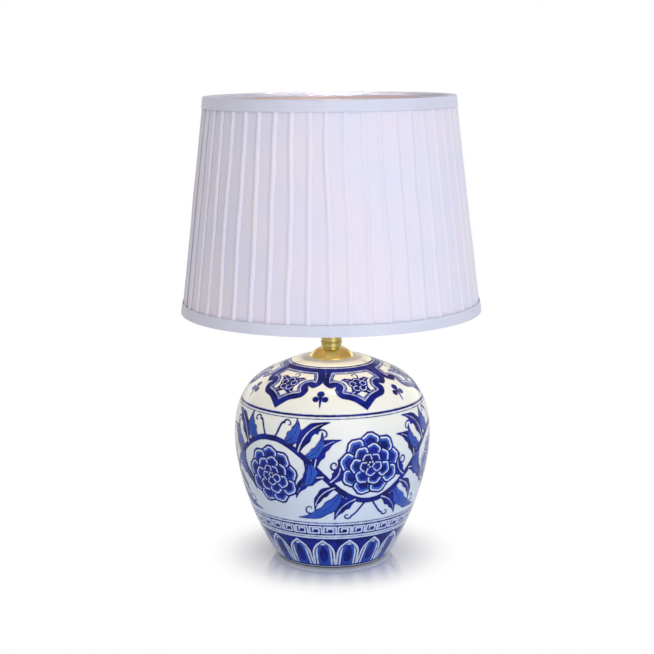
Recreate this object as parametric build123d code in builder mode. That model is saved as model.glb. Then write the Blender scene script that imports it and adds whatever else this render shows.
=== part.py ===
"""Ginger jar table lamp: glazed jar base, brass neck, lampholder, bulb and a pleated shade.

Millimetres. The origin is the centre of the lamp's underside, on the table.
+Z is up and +Y is the back of the lamp, where the cord outlet is.
"""
from build123d import *
from math import cos, pi, radians, sin, tan
import os

os.makedirs("parts", exist_ok=True)

# --- clearances -----------------------------------------------------------------------
face_gap = 0.1            # between flat faces that turn or slide on each other
slip_gap = 0.2            # radial, between pieces that slip over one another
screw_gap = 0.45          # radial, between the bulb's cap and the screw shell

# --- jar ------------------------------------------------------------------------------
felt_thickness = 2.0
felt_margin = 2.5         # the felt stops this far inside the foot's edge
jar_height = 203.0
jar_wall = 6.0
foot_radius = 58.0
foot_slope = 35.0         # degrees that the wall leans out of the vertical at the foot
foot_rounding = 1.5
foot_ring_width = 8.0
foot_recess = 3.0
floor_hole_radius = 30.0  # the hand reaches the clamp nut through it
belly_radius = 99.0
belly_share = 0.611       # the belly's height above the foot, as a share of the jar's
foot_pull_share = 0.323   # of the belly's height: how far the wall keeps to its lean
belly_pull_down = 0.290   # of the belly's height: how far the wall stays upright below
belly_pull_up = 0.593     # of the height from the belly to the shoulder: the same above
shoulder_radius = 61.0    # where the shoulder's curve runs out into a cone
shoulder_slope = 23.5     # degrees below the horizontal
shoulder_pull_share = 0.645   # of the shoulder's width: how far it keeps to that slope
collar_radius = 38.6      # edge of the flat top that the ringed line follows
collar_drop = 2.6
mouth_radius = 13.0
outlet_up_wall = 27.0     # along the wall, from the foot's edge to the cord outlet

# --- cord outlet bush -----------------------------------------------------------------
outlet_bore = 3.6         # radius
outlet_spigot = 5.2
outlet_flange = 7.6
outlet_flange_height = 1.8
outlet_inside = 2.0       # the spigot's length past the wall
flange_rounding = 0.8

# --- neck -----------------------------------------------------------------------------
nipple_radius = 5.0
nipple_wall = 1.4
nipple_tail = 3.0         # below the clamp nut
nipple_head = 8.0         # above the neck collar
cap_radius = 22.0         # brass cap over the mouth
cap_height = 8.2
cap_rim = 1.0
cap_top_radius = 12.5
cap_bulge = 22.0          # radius of the cap's convex flank
cap_sheet = 0.9
seat_margin = 2.0         # the jar's flat seat is this much larger than the cap
mouth_flange = 1.6
mouth_flange_width = 5.0  # beyond the mouth
collar_height = 19.0      # turned brass neck collar
collar_body = 10.3
collar_undercut = 9.3
undercut_height = 1.6
bead_radius = 0.85
bead_level = 6.5          # above the cap
groove_depth = 0.5
groove_width = 0.7
collar_chamfer = 0.5
disc_overlap = 9.0        # clamp disc beyond the mouth
disc_thickness = 1.6
washer_width = 3.2        # radial
washer_thickness = 1.2
washer_split = 1.2
nut_wall = 2.0            # from the thread to each flat
nut_height = 4.5

# --- lampholder -----------------------------------------------------------------------
holder_neck_wall = 3.4    # round the nipple
holder_neck_height = 6.0
dome_height = 9.0
skirt_height = 7.0
skirt_step = 0.6          # the cap's skirt stands this far out from the barrel
holder_wall = 1.8
barrel_wall = 3.2         # between the insert and the thread that the shade rings run on
body_height = 37.0
body_mouth_height = 5.0
body_rounding = 0.8
insert_margin = 2.3       # the insert and the barrel's mouth are this much wider than the shell
insert_height = 12.8
shell_radius = 14.1       # outside of the screw shell, standard for this bulb
shell_sheet = 0.5
shell_height = 23.0
grub_radius = 1.5
grub_slot = 0.5
terminal_offset = 9.5     # terminals either side of the axis
terminal_width = 5.4
terminal_length = 9.0
terminal_height = 7.0
terminal_screw_radius = 1.6
terminal_head_radius = 2.5
terminal_head_height = 1.4
contact_width = 5.0
contact_sheet = 0.6
contact_rise = 3.2
contact_reach = 9.0       # the spring contact's foot, out from the axis
contact_pad = 2.5
side_contact_width = 1.6

# --- shade rings ----------------------------------------------------------------------
ring_hub_wall = 4.0
ring_flange_width = 4.5
ring_height = 6.0
ring_flange = 2.4
ring_level = 12.0         # top of the lower ring above the bottom of the holder's body
grip_count = 20
grip_radius = 1.0

# --- bulb -----------------------------------------------------------------------------
bulb_length = 106.0       # over all
globe_radius = 30.0
bulb_neck_gap = 1.4       # between the bulb's neck and the barrel's mouth
bulb_neck_height = 9.0
bulb_root_height = 3.0    # glass inside the cap
globe_blend = 40.0        # degrees below the globe's middle where its neck begins
globe_blend_pull = 12.0
glass_wall = 1.0
cap_shell_height = 19.0
cap_shell_sheet = 0.5
insulator_height = 4.6
insulator_tip_radius = 5.5
contact_radius = 4.6
contact_height = 1.7

# --- shade ----------------------------------------------------------------------------
shade_height = 212.1
shade_bottom_radius = 150.0
shade_top_radius = 124.1
fitter_rise = 14.0        # from the shade's lower edge up to the fitter ring
fitter_clearance = 1.2    # between the barrel and the fitter ring's bore
fitter_margin = 2.0       # the fitter ring's rim outside the shade rings
fitter_thickness = 1.6
fitter_flat = 8.0         # level stretch of each spoke beside the fitter ring
spoke_bend = 12.0
spoke_count = 3
spoke_turn = 90.0         # degrees from +X to the first spoke
wire_radius = 1.5
liner_thickness = 0.8
binding_thickness = 1.2
binding_outside = 11.0
top_binding_inside = 5.0  # down behind the top wire
bottom_binding_inside = 8.5
binding_rounding = 1.0
pleat_count = 48
pleat_depth = 1.9         # from the fold edges in to the liner
pleat_lap = 1.4           # height of each fold over the pleat beside it
pleat_nose = 0.16         # degrees from the crest to the nose of a fold
pleat_undercut = 0.40     # degrees that a fold reaches over the next pleat
corners_per_fold = 3      # crest, nose and undercut

# --- heights that follow --------------------------------------------------------------
jar_foot_z = felt_thickness
jar_top_z = jar_foot_z + jar_height
belly_height = belly_share * jar_height
belly_z = jar_foot_z + belly_height
collar_z = jar_top_z - collar_drop
shoulder_z = collar_z - (shoulder_radius - collar_radius) * tan(radians(shoulder_slope))
foot_pull = foot_pull_share * belly_height
shoulder_pull = shoulder_pull_share * (belly_radius - shoulder_radius)
jar_inner_top_z = jar_top_z - jar_wall
disc_z = jar_inner_top_z - disc_thickness
washer_z = disc_z - washer_thickness
nut_z = washer_z - nut_height
cap_top_z = jar_top_z + cap_height
holder_z = cap_top_z + collar_height
body_z = holder_z + holder_neck_height + dome_height + skirt_height
body_top_z = body_z + body_height
ring_seat_z = body_z + ring_level
fitter_z = ring_seat_z + face_gap
upper_ring_z = fitter_z + fitter_thickness + face_gap
shade_bottom_z = fitter_z - fitter_rise
shade_top_z = shade_bottom_z + shade_height
insert_z = body_z - skirt_height + 1.0
insert_top_z = insert_z + insert_height
bulb_tip_z = insert_top_z + contact_rise + contact_sheet + face_gap
bulb_insulator_z = bulb_tip_z + contact_height
bulb_cap_z = bulb_insulator_z + insulator_height
bulb_glass_z = bulb_cap_z + cap_shell_height
bulb_top_z = bulb_tip_z + bulb_length
neck_top_z = holder_z + holder_neck_height
skirt_z = neck_top_z + dome_height
glass_neck_top_z = bulb_glass_z + bulb_neck_height
globe_z = bulb_top_z - globe_radius

# --- radii that follow ----------------------------------------------------------------
nipple_bore = nipple_radius - nipple_wall
nipple_clear = nipple_radius + slip_gap
washer_radius = nipple_radius + washer_width
nut_flat_radius = nipple_radius + nut_wall
mouth_flange_radius = mouth_radius + mouth_flange_width
holder_neck_radius = nipple_clear + holder_neck_wall
insert_radius = shell_radius + insert_margin
body_mouth = shell_radius + insert_margin
body_radius = insert_radius + slip_gap + barrel_wall
skirt_radius = body_radius + skirt_step
ring_hub = body_radius + slip_gap + ring_hub_wall
ring_radius = ring_hub + ring_flange_width
fitter_bore = body_radius + fitter_clearance
fitter_radius = ring_radius + fitter_margin
bulb_cap_radius = shell_radius - shell_sheet - screw_gap
glass_root_radius = bulb_cap_radius - cap_shell_sheet - face_gap
bulb_neck_radius = body_mouth - bulb_neck_gap
grub_plane = Plane(
    origin=(0, holder_neck_radius, holder_z + holder_neck_height / 2), z_dir=(0, 1, 0)
)

# --- layers of the shade, each as a depth inside its outer cone -----------------------
pleat_crest = binding_thickness + face_gap
liner_outside = pleat_crest + pleat_depth
liner_inside = liner_outside + liner_thickness
wire_centre = liner_inside + face_gap + wire_radius
binding_depth = wire_centre + wire_radius + face_gap + binding_thickness
top_wire_z = shade_top_z - binding_thickness - face_gap - wire_radius
bottom_wire_z = shade_bottom_z + binding_thickness + face_gap + wire_radius
layers_bottom_z = shade_bottom_z + binding_thickness
layers_top_z = shade_top_z - binding_thickness


def cone_radius(z):
    """Radius of the shade's outer cone at height z."""
    share = (z - shade_bottom_z) / shade_height
    return shade_bottom_radius + (shade_top_radius - shade_bottom_radius) * share


def in_shade(z, depth):
    """Point (radius, height) that lies depth inside the shade's outer cone."""
    return (cone_radius(z) - depth, z)


def pleat_outline(z):
    """Points round the pleated cover at height z: crest, nose and undercut of every fold.

    The folds get finer with the cone, so that every side of a pleat is flat.
    """
    pitch = 360 / pleat_count
    crest = cone_radius(z) - pleat_crest
    taper = crest / (shade_bottom_radius - pleat_crest)
    corners = []
    for fold in range(pleat_count):
        for turn, depth in (
            (-pleat_nose, 0),
            (0, pleat_lap / 3),
            (-pleat_undercut, pleat_lap),
        ):
            angle = radians(fold * pitch + turn)
            reach = crest - depth * taper
            corners.append((reach * cos(angle), reach * sin(angle)))
    return corners


# --- jar: thrown form, one wall thickness, foot ring, mouth, floor hole, cord hole -----
with BuildPart() as jar:
    with BuildSketch(Plane.XZ):
        with BuildLine():
            lower_wall = Bezier(
                (foot_radius, jar_foot_z),
                (
                    foot_radius + foot_pull * sin(radians(foot_slope)),
                    jar_foot_z + foot_pull * cos(radians(foot_slope)),
                ),
                (belly_radius, belly_z - belly_pull_down * belly_height),
                (belly_radius, belly_z),
            )
            upper_wall = Bezier(
                (belly_radius, belly_z),
                (belly_radius, belly_z + belly_pull_up * (shoulder_z - belly_z)),
                (
                    shoulder_radius + shoulder_pull * cos(radians(shoulder_slope)),
                    shoulder_z - shoulder_pull * sin(radians(shoulder_slope)),
                ),
                (shoulder_radius, shoulder_z),
            )
            Polyline(
                (shoulder_radius, shoulder_z),
                (collar_radius, collar_z),
                (cap_radius + seat_margin, jar_top_z),
                (0, jar_top_z),
                (0, jar_foot_z),
                (foot_radius, jar_foot_z),
            )
        make_face()
    revolve(axis=Axis.Z)
    offset(amount=-jar_wall, kind=Kind.INTERSECTION, mode=Mode.SUBTRACT)
    with BuildSketch(Plane.XY.offset(jar_top_z)):
        Circle(mouth_radius)
    extrude(amount=-2 * jar_wall, mode=Mode.SUBTRACT)
    with BuildSketch(Plane.XY.offset(jar_foot_z)):
        Circle(floor_hole_radius)
    extrude(amount=2 * jar_wall, mode=Mode.SUBTRACT)
    with BuildSketch(Plane.XY.offset(jar_foot_z)):
        Circle(foot_radius - foot_ring_width)
    extrude(amount=foot_recess, mode=Mode.SUBTRACT)
    foot_edges = jar.edges().filter_by(GeomType.CIRCLE).group_by(Axis.Z)[0]
    fillet(foot_edges.sort_by(SortBy.RADIUS)[-1], radius=foot_rounding)
    # the cord hole is square to the sloping wall, at the back
    outlet = lower_wall.position_at(outlet_up_wall, position_mode=PositionMode.LENGTH)
    wall_run = lower_wall.tangent_at(outlet_up_wall, position_mode=PositionMode.LENGTH)
    outlet_plane = Plane(
        origin=(0, outlet.X, outlet.Y), x_dir=(1, 0, 0), z_dir=(0, wall_run.Y, -wall_run.X)
    )
    with BuildSketch(outlet_plane.offset(jar_wall)):
        Circle(outlet_spigot + slip_gap)
    extrude(amount=-3 * jar_wall, mode=Mode.SUBTRACT)
jar.part.label = "jar"
export_step(jar.part, "parts/jar.step")

with BuildPart() as base_felt:
    with BuildSketch(Plane.XY):
        Circle(foot_radius - felt_margin)
    extrude(amount=felt_thickness)
base_felt.part.label = "base_felt"
export_step(base_felt.part, "parts/base_felt.step")

with BuildPart() as cord_outlet_bush:
    with BuildSketch(outlet_plane):
        Circle(outlet_flange)
    extrude(amount=outlet_flange_height)
    outer_rim = cord_outlet_bush.edges().filter_by(GeomType.CIRCLE).sort_by(Axis.Y)[-1]
    fillet(outer_rim, radius=flange_rounding)
    with BuildSketch(outlet_plane):
        Circle(outlet_spigot)
    extrude(amount=-(jar_wall + outlet_inside))
    with BuildSketch(outlet_plane.offset(outlet_flange_height)):
        Circle(outlet_bore)
    extrude(amount=-(outlet_flange_height + jar_wall + outlet_inside), mode=Mode.SUBTRACT)
cord_outlet_bush.part.label = "cord_outlet_bush"
export_step(cord_outlet_bush.part, "parts/cord_outlet_bush.step")

# --- neck: everything that the nipple clamps to the jar's mouth -------------------------
with BuildPart() as mouth_bush:
    with BuildSketch(Plane.XY.offset(jar_top_z)):
        Circle(mouth_flange_radius)
    extrude(amount=mouth_flange)
    with BuildSketch(Plane.XY.offset(jar_top_z)):
        Circle(mouth_radius - slip_gap)
    extrude(amount=-(jar_wall - mouth_flange))
    with BuildSketch(Plane.XY.offset(jar_top_z + mouth_flange)):
        Circle(nipple_clear)
    extrude(amount=-(jar_wall + mouth_flange), mode=Mode.SUBTRACT)
mouth_bush.part.label = "mouth_bush"
export_step(mouth_bush.part, "parts/mouth_bush.step")

# a spun cover: a low rim, a convex flank and a flat top that the collar stands on
with BuildPart() as brass_cap:
    with BuildSketch(Plane.XZ):
        with BuildLine():
            RadiusArc(
                (cap_top_radius, cap_top_z), (cap_radius, jar_top_z + cap_rim), cap_bulge
            )
            Polyline(
                (cap_radius, jar_top_z + cap_rim),
                (cap_radius, jar_top_z),
                (0, jar_top_z),
                (0, cap_top_z),
                (cap_top_radius, cap_top_z),
            )
        make_face()
    revolve(axis=Axis.Z)
    offset(amount=-cap_sheet, openings=brass_cap.faces().sort_by(Axis.Z)[0])
    with BuildSketch(Plane.XY.offset(cap_top_z)):
        Circle(nipple_clear)
    extrude(amount=-2 * cap_sheet, mode=Mode.SUBTRACT)
brass_cap.part.label = "brass_cap"
export_step(brass_cap.part, "parts/brass_cap.step")

# a turned collar: undercut foot, plain body, and one bead between two fine grooves
with BuildPart() as neck_collar:
    with BuildSketch(Plane.XY.offset(cap_top_z + undercut_height)):
        Circle(collar_body)
    extrude(amount=collar_height - undercut_height)
    chamfer(neck_collar.edges().filter_by(GeomType.CIRCLE), length=collar_chamfer)
    with BuildSketch(Plane.XY.offset(cap_top_z)):
        Circle(collar_undercut)
    extrude(amount=undercut_height)
    with BuildSketch(Plane.XZ):
        with Locations((collar_body, cap_top_z + bead_level)):
            Rectangle(2 * groove_depth, 2 * (bead_radius + groove_width))
    revolve(axis=Axis.Z, mode=Mode.SUBTRACT)
    with BuildSketch(Plane.XZ):
        with Locations((collar_body - groove_depth / 2, cap_top_z + bead_level)):
            Circle(bead_radius)
    revolve(axis=Axis.Z)
    with BuildSketch(Plane.XY.offset(cap_top_z)):
        Circle(nipple_clear)
    extrude(amount=collar_height, mode=Mode.SUBTRACT)
neck_collar.part.label = "neck_collar"
export_step(neck_collar.part, "parts/neck_collar.step")

with BuildPart() as nipple:
    with BuildSketch(Plane.XY.offset(nut_z - nipple_tail)):
        Circle(nipple_radius)
        Circle(nipple_bore, mode=Mode.SUBTRACT)
    extrude(amount=holder_z + nipple_head - (nut_z - nipple_tail))
nipple.part.label = "nipple"
export_step(nipple.part, "parts/nipple.step")

with BuildPart() as clamp_disc:
    with BuildSketch(Plane.XY.offset(disc_z)):
        Circle(mouth_radius + disc_overlap)
        Circle(nipple_clear, mode=Mode.SUBTRACT)
    extrude(amount=disc_thickness)
clamp_disc.part.label = "clamp_disc"
export_step(clamp_disc.part, "parts/clamp_disc.step")

# a split spring washer
with BuildPart() as lock_washer:
    with BuildSketch(Plane.XY.offset(washer_z)):
        Circle(washer_radius)
        Circle(nipple_clear, mode=Mode.SUBTRACT)
        with Locations((washer_radius, 0)):
            Rectangle(2 * (washer_radius - nipple_radius), washer_split, mode=Mode.SUBTRACT)
    extrude(amount=washer_thickness)
lock_washer.part.label = "lock_washer"
export_step(lock_washer.part, "parts/lock_washer.step")

with BuildPart() as clamp_nut:
    with BuildSketch(Plane.XY.offset(nut_z)):
        RegularPolygon(radius=nut_flat_radius, side_count=6, major_radius=False)
        Circle(nipple_clear, mode=Mode.SUBTRACT)
    extrude(amount=nut_height)
clamp_nut.part.label = "clamp_nut"
export_step(clamp_nut.part, "parts/clamp_nut.step")

# --- lampholder -------------------------------------------------------------------------
# a moulded bowl: a neck that screws on the nipple, a rounded dome and a straight skirt
with BuildPart() as holder_cap:
    with BuildSketch(Plane.XZ):
        with BuildLine():
            Polyline(
                (holder_neck_radius, neck_top_z + holder_wall),
                (nipple_clear, neck_top_z + holder_wall),
                (nipple_clear, holder_z),
                (holder_neck_radius, holder_z),
                (holder_neck_radius, neck_top_z),
            )
            EllipticalCenterArc(
                (holder_neck_radius, skirt_z),
                skirt_radius - holder_neck_radius,
                dome_height,
                start_angle=270,
                arc_size=90,
            )
            Polyline(
                (skirt_radius, skirt_z),
                (skirt_radius, body_z),
                (skirt_radius - holder_wall, body_z),
                (skirt_radius - holder_wall, skirt_z),
            )
            EllipticalCenterArc(
                (holder_neck_radius, skirt_z),
                skirt_radius - holder_neck_radius - holder_wall,
                dome_height - holder_wall,
                start_angle=270,
                arc_size=90,
            )
        make_face()
    revolve(axis=Axis.Z)
    with BuildSketch(grub_plane):
        Circle(grub_radius + face_gap)
    extrude(amount=-holder_neck_radius, mode=Mode.SUBTRACT)
holder_cap.part.label = "holder_cap"
export_step(holder_cap.part, "parts/holder_cap.step")

with BuildPart() as holder_grub_screw:
    with BuildSketch(grub_plane):
        Circle(grub_radius)
    extrude(amount=-(holder_neck_radius - nipple_radius - face_gap))
    with BuildSketch(grub_plane):
        Rectangle(2 * grub_radius, grub_slot)
    extrude(amount=-2 * grub_slot, mode=Mode.SUBTRACT)
holder_grub_screw.part.label = "holder_grub_screw"
export_step(holder_grub_screw.part, "parts/holder_grub_screw.step")

# the threaded barrel that the shade rings run on, with a spigot inside the cap's skirt
with BuildPart() as holder_body:
    with BuildSketch(Plane.XZ):
        with BuildLine():
            Polyline(
                (insert_radius + slip_gap, insert_z),
                (skirt_radius - holder_wall - slip_gap, insert_z),
                (skirt_radius - holder_wall - slip_gap, body_z),
                (body_radius, body_z),
                (body_radius, body_top_z),
                (body_mouth, body_top_z),
                (body_mouth, body_top_z - body_mouth_height),
                (shell_radius + slip_gap, body_top_z - body_mouth_height),
                (shell_radius + slip_gap, insert_top_z),
                (insert_radius + slip_gap, insert_top_z),
                close=True,
            )
        make_face()
    revolve(axis=Axis.Z)
    fillet(holder_body.edges().group_by(Axis.Z)[-1], radius=body_rounding)
holder_body.part.label = "holder_body"
export_step(holder_body.part, "parts/holder_body.step")

# the insulating block, with a well from below for each terminal
with BuildPart() as holder_insert:
    with BuildSketch(Plane.XY.offset(insert_z)):
        Circle(insert_radius)
    extrude(amount=insert_height)
    with BuildSketch(Plane.XY.offset(insert_z)):
        with Locations((-terminal_offset, 0), (terminal_offset, 0)):
            Rectangle(terminal_width + 2 * slip_gap, terminal_length + 2 * slip_gap)
    extrude(amount=terminal_height + terminal_head_height, mode=Mode.SUBTRACT)
holder_insert.part.label = "holder_insert"
export_step(holder_insert.part, "parts/holder_insert.step")

with BuildPart() as terminal_blocks:
    with BuildSketch(Plane.XY.offset(insert_z + terminal_head_height)):
        with Locations((-terminal_offset, 0), (terminal_offset, 0)):
            Rectangle(terminal_width, terminal_length)
            Circle(terminal_screw_radius + face_gap, mode=Mode.SUBTRACT)
    extrude(amount=terminal_height)
terminal_blocks.part.label = "terminal_blocks"
export_step(terminal_blocks.part, "parts/terminal_blocks.step")

with BuildPart() as terminal_screws:
    with BuildSketch(Plane.XY.offset(insert_z)):
        with Locations((-terminal_offset, 0), (terminal_offset, 0)):
            Circle(terminal_head_radius)
    extrude(amount=terminal_head_height)
    with BuildSketch(Plane.XY.offset(insert_z)):
        with Locations((-terminal_offset, 0), (terminal_offset, 0)):
            Rectangle(2 * terminal_head_radius, grub_slot)
    extrude(amount=grub_slot, mode=Mode.SUBTRACT)
    with BuildSketch(Plane.XY.offset(insert_z + terminal_head_height)):
        with Locations((-terminal_offset, 0), (terminal_offset, 0)):
            Circle(terminal_screw_radius)
    extrude(amount=terminal_height - face_gap)
terminal_screws.part.label = "terminal_screws"
export_step(terminal_screws.part, "parts/terminal_screws.step")

# a bent spring strip whose pad meets the bulb's centre contact
with BuildPart() as centre_contact:
    with BuildSketch(Plane.XZ):
        with BuildLine():
            Polyline(
                (-contact_reach, insert_top_z + contact_sheet / 2),
                (-2 * contact_pad, insert_top_z + contact_sheet / 2),
                (-contact_pad, insert_top_z + contact_sheet / 2 + contact_rise),
                (contact_pad, insert_top_z + contact_sheet / 2 + contact_rise),
            )
        trace(line_width=contact_sheet)
    extrude(amount=contact_width / 2, both=True)
centre_contact.part.label = "centre_contact"
export_step(centre_contact.part, "parts/centre_contact.step")

# a flat ring under the screw shell, with a tab towards its terminal
with BuildPart() as side_contact:
    with BuildSketch(Plane.XY.offset(insert_top_z)):
        Circle(shell_radius)
        Circle(shell_radius - side_contact_width, mode=Mode.SUBTRACT)
        with Locations((shell_radius - side_contact_width, 0)):
            Rectangle(2 * side_contact_width, contact_width)
    extrude(amount=contact_sheet)
side_contact.part.label = "side_contact"
export_step(side_contact.part, "parts/side_contact.step")

with BuildPart() as screw_shell:
    with BuildSketch(Plane.XY.offset(insert_top_z + contact_sheet)):
        Circle(shell_radius)
        Circle(shell_radius - shell_sheet, mode=Mode.SUBTRACT)
    extrude(amount=shell_height)
screw_shell.part.label = "screw_shell"
export_step(screw_shell.part, "parts/screw_shell.step")

# --- shade rings: a hub on the barrel's thread and a gripped flange on the fitter -------
for name, hub_z, flange_z in (
    ("lower_shade_ring", ring_seat_z - ring_height, ring_seat_z - ring_flange),
    ("upper_shade_ring", upper_ring_z, upper_ring_z),
):
    with BuildPart() as shade_ring:
        with BuildSketch(Plane.XY.offset(hub_z)):
            Circle(ring_hub)
        extrude(amount=ring_height)
        with BuildSketch(Plane.XY.offset(flange_z)):
            Circle(ring_radius)
            with PolarLocations(ring_radius, grip_count):
                Circle(grip_radius, mode=Mode.SUBTRACT)
        extrude(amount=ring_flange)
        with BuildSketch(Plane.XY.offset(hub_z)):
            Circle(body_radius + slip_gap)
        extrude(amount=ring_height, mode=Mode.SUBTRACT)
    shade_ring.part.label = name
    export_step(shade_ring.part, f"parts/{name}.step")

# --- bulb -------------------------------------------------------------------------------
with BuildPart() as bulb_contact:
    with BuildSketch(Plane.XZ):
        with BuildLine():
            ThreePointArc(
                (0, bulb_tip_z),
                (contact_radius * sin(pi / 4), bulb_tip_z + contact_height * (1 - cos(pi / 4))),
                (contact_radius, bulb_tip_z + contact_height - face_gap),
            )
            Polyline(
                (contact_radius, bulb_tip_z + contact_height - face_gap),
                (0, bulb_tip_z + contact_height - face_gap),
                (0, bulb_tip_z),
            )
        make_face()
    revolve(axis=Axis.Z)
bulb_contact.part.label = "bulb_contact"
export_step(bulb_contact.part, "parts/bulb_contact.step")

with BuildPart() as bulb_insulator:
    with BuildSketch(Plane.XY.offset(bulb_insulator_z)):
        Circle(insulator_tip_radius)
    with BuildSketch(Plane.XY.offset(bulb_cap_z)):
        Circle(bulb_cap_radius - cap_shell_sheet)
    loft()
bulb_insulator.part.label = "bulb_insulator"
export_step(bulb_insulator.part, "parts/bulb_insulator.step")

with BuildPart() as bulb_cap:
    with BuildSketch(Plane.XY.offset(bulb_cap_z)):
        Circle(bulb_cap_radius)
    extrude(amount=cap_shell_height)
    with BuildSketch(Plane.XY.offset(bulb_cap_z + cap_shell_sheet)):
        Circle(bulb_cap_radius - cap_shell_sheet)
    extrude(amount=cap_shell_height, mode=Mode.SUBTRACT)
bulb_cap.part.label = "bulb_cap"
export_step(bulb_cap.part, "parts/bulb_cap.step")

# a blown envelope: root inside the cap, straight neck, and a curve into the globe
with BuildPart() as bulb_glass:
    with BuildSketch(Plane.XZ):
        with BuildLine():
            Polyline(
                (0, globe_z + globe_radius),
                (0, bulb_glass_z - bulb_root_height),
                (glass_root_radius, bulb_glass_z - bulb_root_height),
                (glass_root_radius, bulb_glass_z),
                (bulb_neck_radius, bulb_glass_z + bulb_neck_radius - glass_root_radius),
                (bulb_neck_radius, glass_neck_top_z),
            )
            Bezier(
                (bulb_neck_radius, glass_neck_top_z),
                (bulb_neck_radius, glass_neck_top_z + globe_blend_pull),
                (
                    globe_radius * cos(radians(globe_blend))
                    - globe_blend_pull * sin(radians(globe_blend)),
                    globe_z
                    - globe_radius * sin(radians(globe_blend))
                    - globe_blend_pull * cos(radians(globe_blend)),
                ),
                (
                    globe_radius * cos(radians(globe_blend)),
                    globe_z - globe_radius * sin(radians(globe_blend)),
                ),
            )
            CenterArc((0, globe_z), globe_radius, -globe_blend, 90 + globe_blend)
        make_face()
    revolve(axis=Axis.Z)
    offset(amount=-glass_wall, openings=bulb_glass.faces().sort_by(Axis.Z)[0])
bulb_glass.part.label = "bulb_glass"
export_step(bulb_glass.part, "parts/bulb_glass.step")

# --- shade frame ------------------------------------------------------------------------
for name, level in (("top_wire_ring", top_wire_z), ("bottom_wire_ring", bottom_wire_z)):
    with BuildPart() as wire_ring:
        with BuildSketch(Plane.XZ):
            with Locations(in_shade(level, wire_centre)):
                Circle(wire_radius)
        revolve(axis=Axis.Z)
    wire_ring.part.label = name
    export_step(wire_ring.part, f"parts/{name}.step")

with BuildPart() as fitter_ring:
    with BuildSketch(Plane.XY.offset(fitter_z)):
        Circle(fitter_radius)
        Circle(fitter_bore, mode=Mode.SUBTRACT)
    extrude(amount=fitter_thickness)
fitter_ring.part.label = "fitter_ring"
export_step(fitter_ring.part, "parts/fitter_ring.step")


def spoke(radius):
    """One spoke of the given radius along +X: level beside the fitter, then down to the wire."""
    level = fitter_z + fitter_thickness / 2
    rim, wire_z = in_shade(bottom_wire_z, wire_centre + wire_radius + face_gap)
    with BuildPart() as rod:
        with BuildLine(Plane.XZ) as route:
            FilletPolyline(
                (fitter_radius, level),
                (fitter_radius + fitter_flat, level),
                (rim, wire_z),
                radius=spoke_bend,
            )
        with BuildSketch(Plane(origin=(fitter_radius, 0, level), z_dir=(1, 0, 0))):
            Circle(radius)
        sweep(path=route.line)
    return rod.part


wire_spoke = spoke(wire_radius)
with BuildPart() as fitter_spokes:
    with PolarLocations(0, spoke_count, start_angle=spoke_turn):
        add(wire_spoke)
fitter_spokes.part.label = "fitter_spokes"
export_step(fitter_spokes.part, "parts/fitter_spokes.step")

# --- shade cover ------------------------------------------------------------------------
with BuildPart() as shade_liner:
    with BuildSketch(Plane.XZ):
        with BuildLine():
            Polyline(
                in_shade(layers_bottom_z, liner_outside),
                in_shade(layers_top_z, liner_outside),
                in_shade(layers_top_z, liner_inside),
                in_shade(layers_bottom_z, liner_inside),
                close=True,
            )
        make_face()
    revolve(axis=Axis.Z)
shade_liner.part.label = "shade_liner"
export_step(shade_liner.part, "parts/shade_liner.step")

# knife pleats all one way, each fold lapping over the next, ruled from rim to rim, and flat
# against the liner behind
with BuildPart() as pleated_cover:
    for level in (layers_bottom_z, layers_top_z):
        with BuildSketch(Plane.XY.offset(level)):
            with BuildLine():
                Polyline(*pleat_outline(level), close=True)
            make_face()
    loft(ruled=True)
    for level in (layers_bottom_z, layers_top_z):
        with BuildSketch(Plane.XY.offset(level)):
            RegularPolygon(
                radius=cone_radius(level) - liner_outside,
                side_count=corners_per_fold * pleat_count,
                major_radius=False,
            )
    loft(ruled=True, mode=Mode.SUBTRACT)
pleated_cover.part.label = "pleated_cover"
export_step(pleated_cover.part, "parts/pleated_cover.step")

# fabric tapes folded over both rims, from the outside of the pleats to behind the wire
spoke_hole = spoke(wire_radius + slip_gap)
for name, rim_z, inward, turned_in in (
    ("top_binding", shade_top_z, -1, top_binding_inside),
    ("bottom_binding", shade_bottom_z, 1, bottom_binding_inside),
):
    with BuildPart() as binding:
        with BuildSketch(Plane.XZ):
            with BuildLine():
                Polyline(
                    in_shade(rim_z + inward * binding_outside, 0),
                    in_shade(rim_z, 0),
                    in_shade(rim_z, binding_depth),
                    in_shade(rim_z + inward * turned_in, binding_depth),
                    in_shade(rim_z + inward * turned_in, binding_depth - binding_thickness),
                    in_shade(rim_z + inward * binding_thickness, binding_depth - binding_thickness),
                    in_shade(rim_z + inward * binding_thickness, binding_thickness),
                    in_shade(rim_z + inward * binding_outside, binding_thickness),
                    close=True,
                )
            make_face()
        revolve(axis=Axis.Z)
        rim_edges = binding.edges().group_by(Axis.Z)[-1 if inward < 0 else 0]
        fillet(rim_edges, radius=binding_rounding)
        if inward > 0:
            with PolarLocations(0, spoke_count, start_angle=spoke_turn):
                add(spoke_hole, mode=Mode.SUBTRACT)
    binding.part.label = name
    export_step(binding.part, f"parts/{name}.step")
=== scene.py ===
"""Ginger jar table lamp: looks of the glazed jar, brass neck, pleated shade, holder and bulb.

Lengths in this file are millimetres until a mesh is made; Blender's are metres.
+Y is the back of the lamp, and turns are measured from +X towards +Y.
"""

import math

import bpy
import numpy as np
from mathutils import Matrix, Vector


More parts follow.
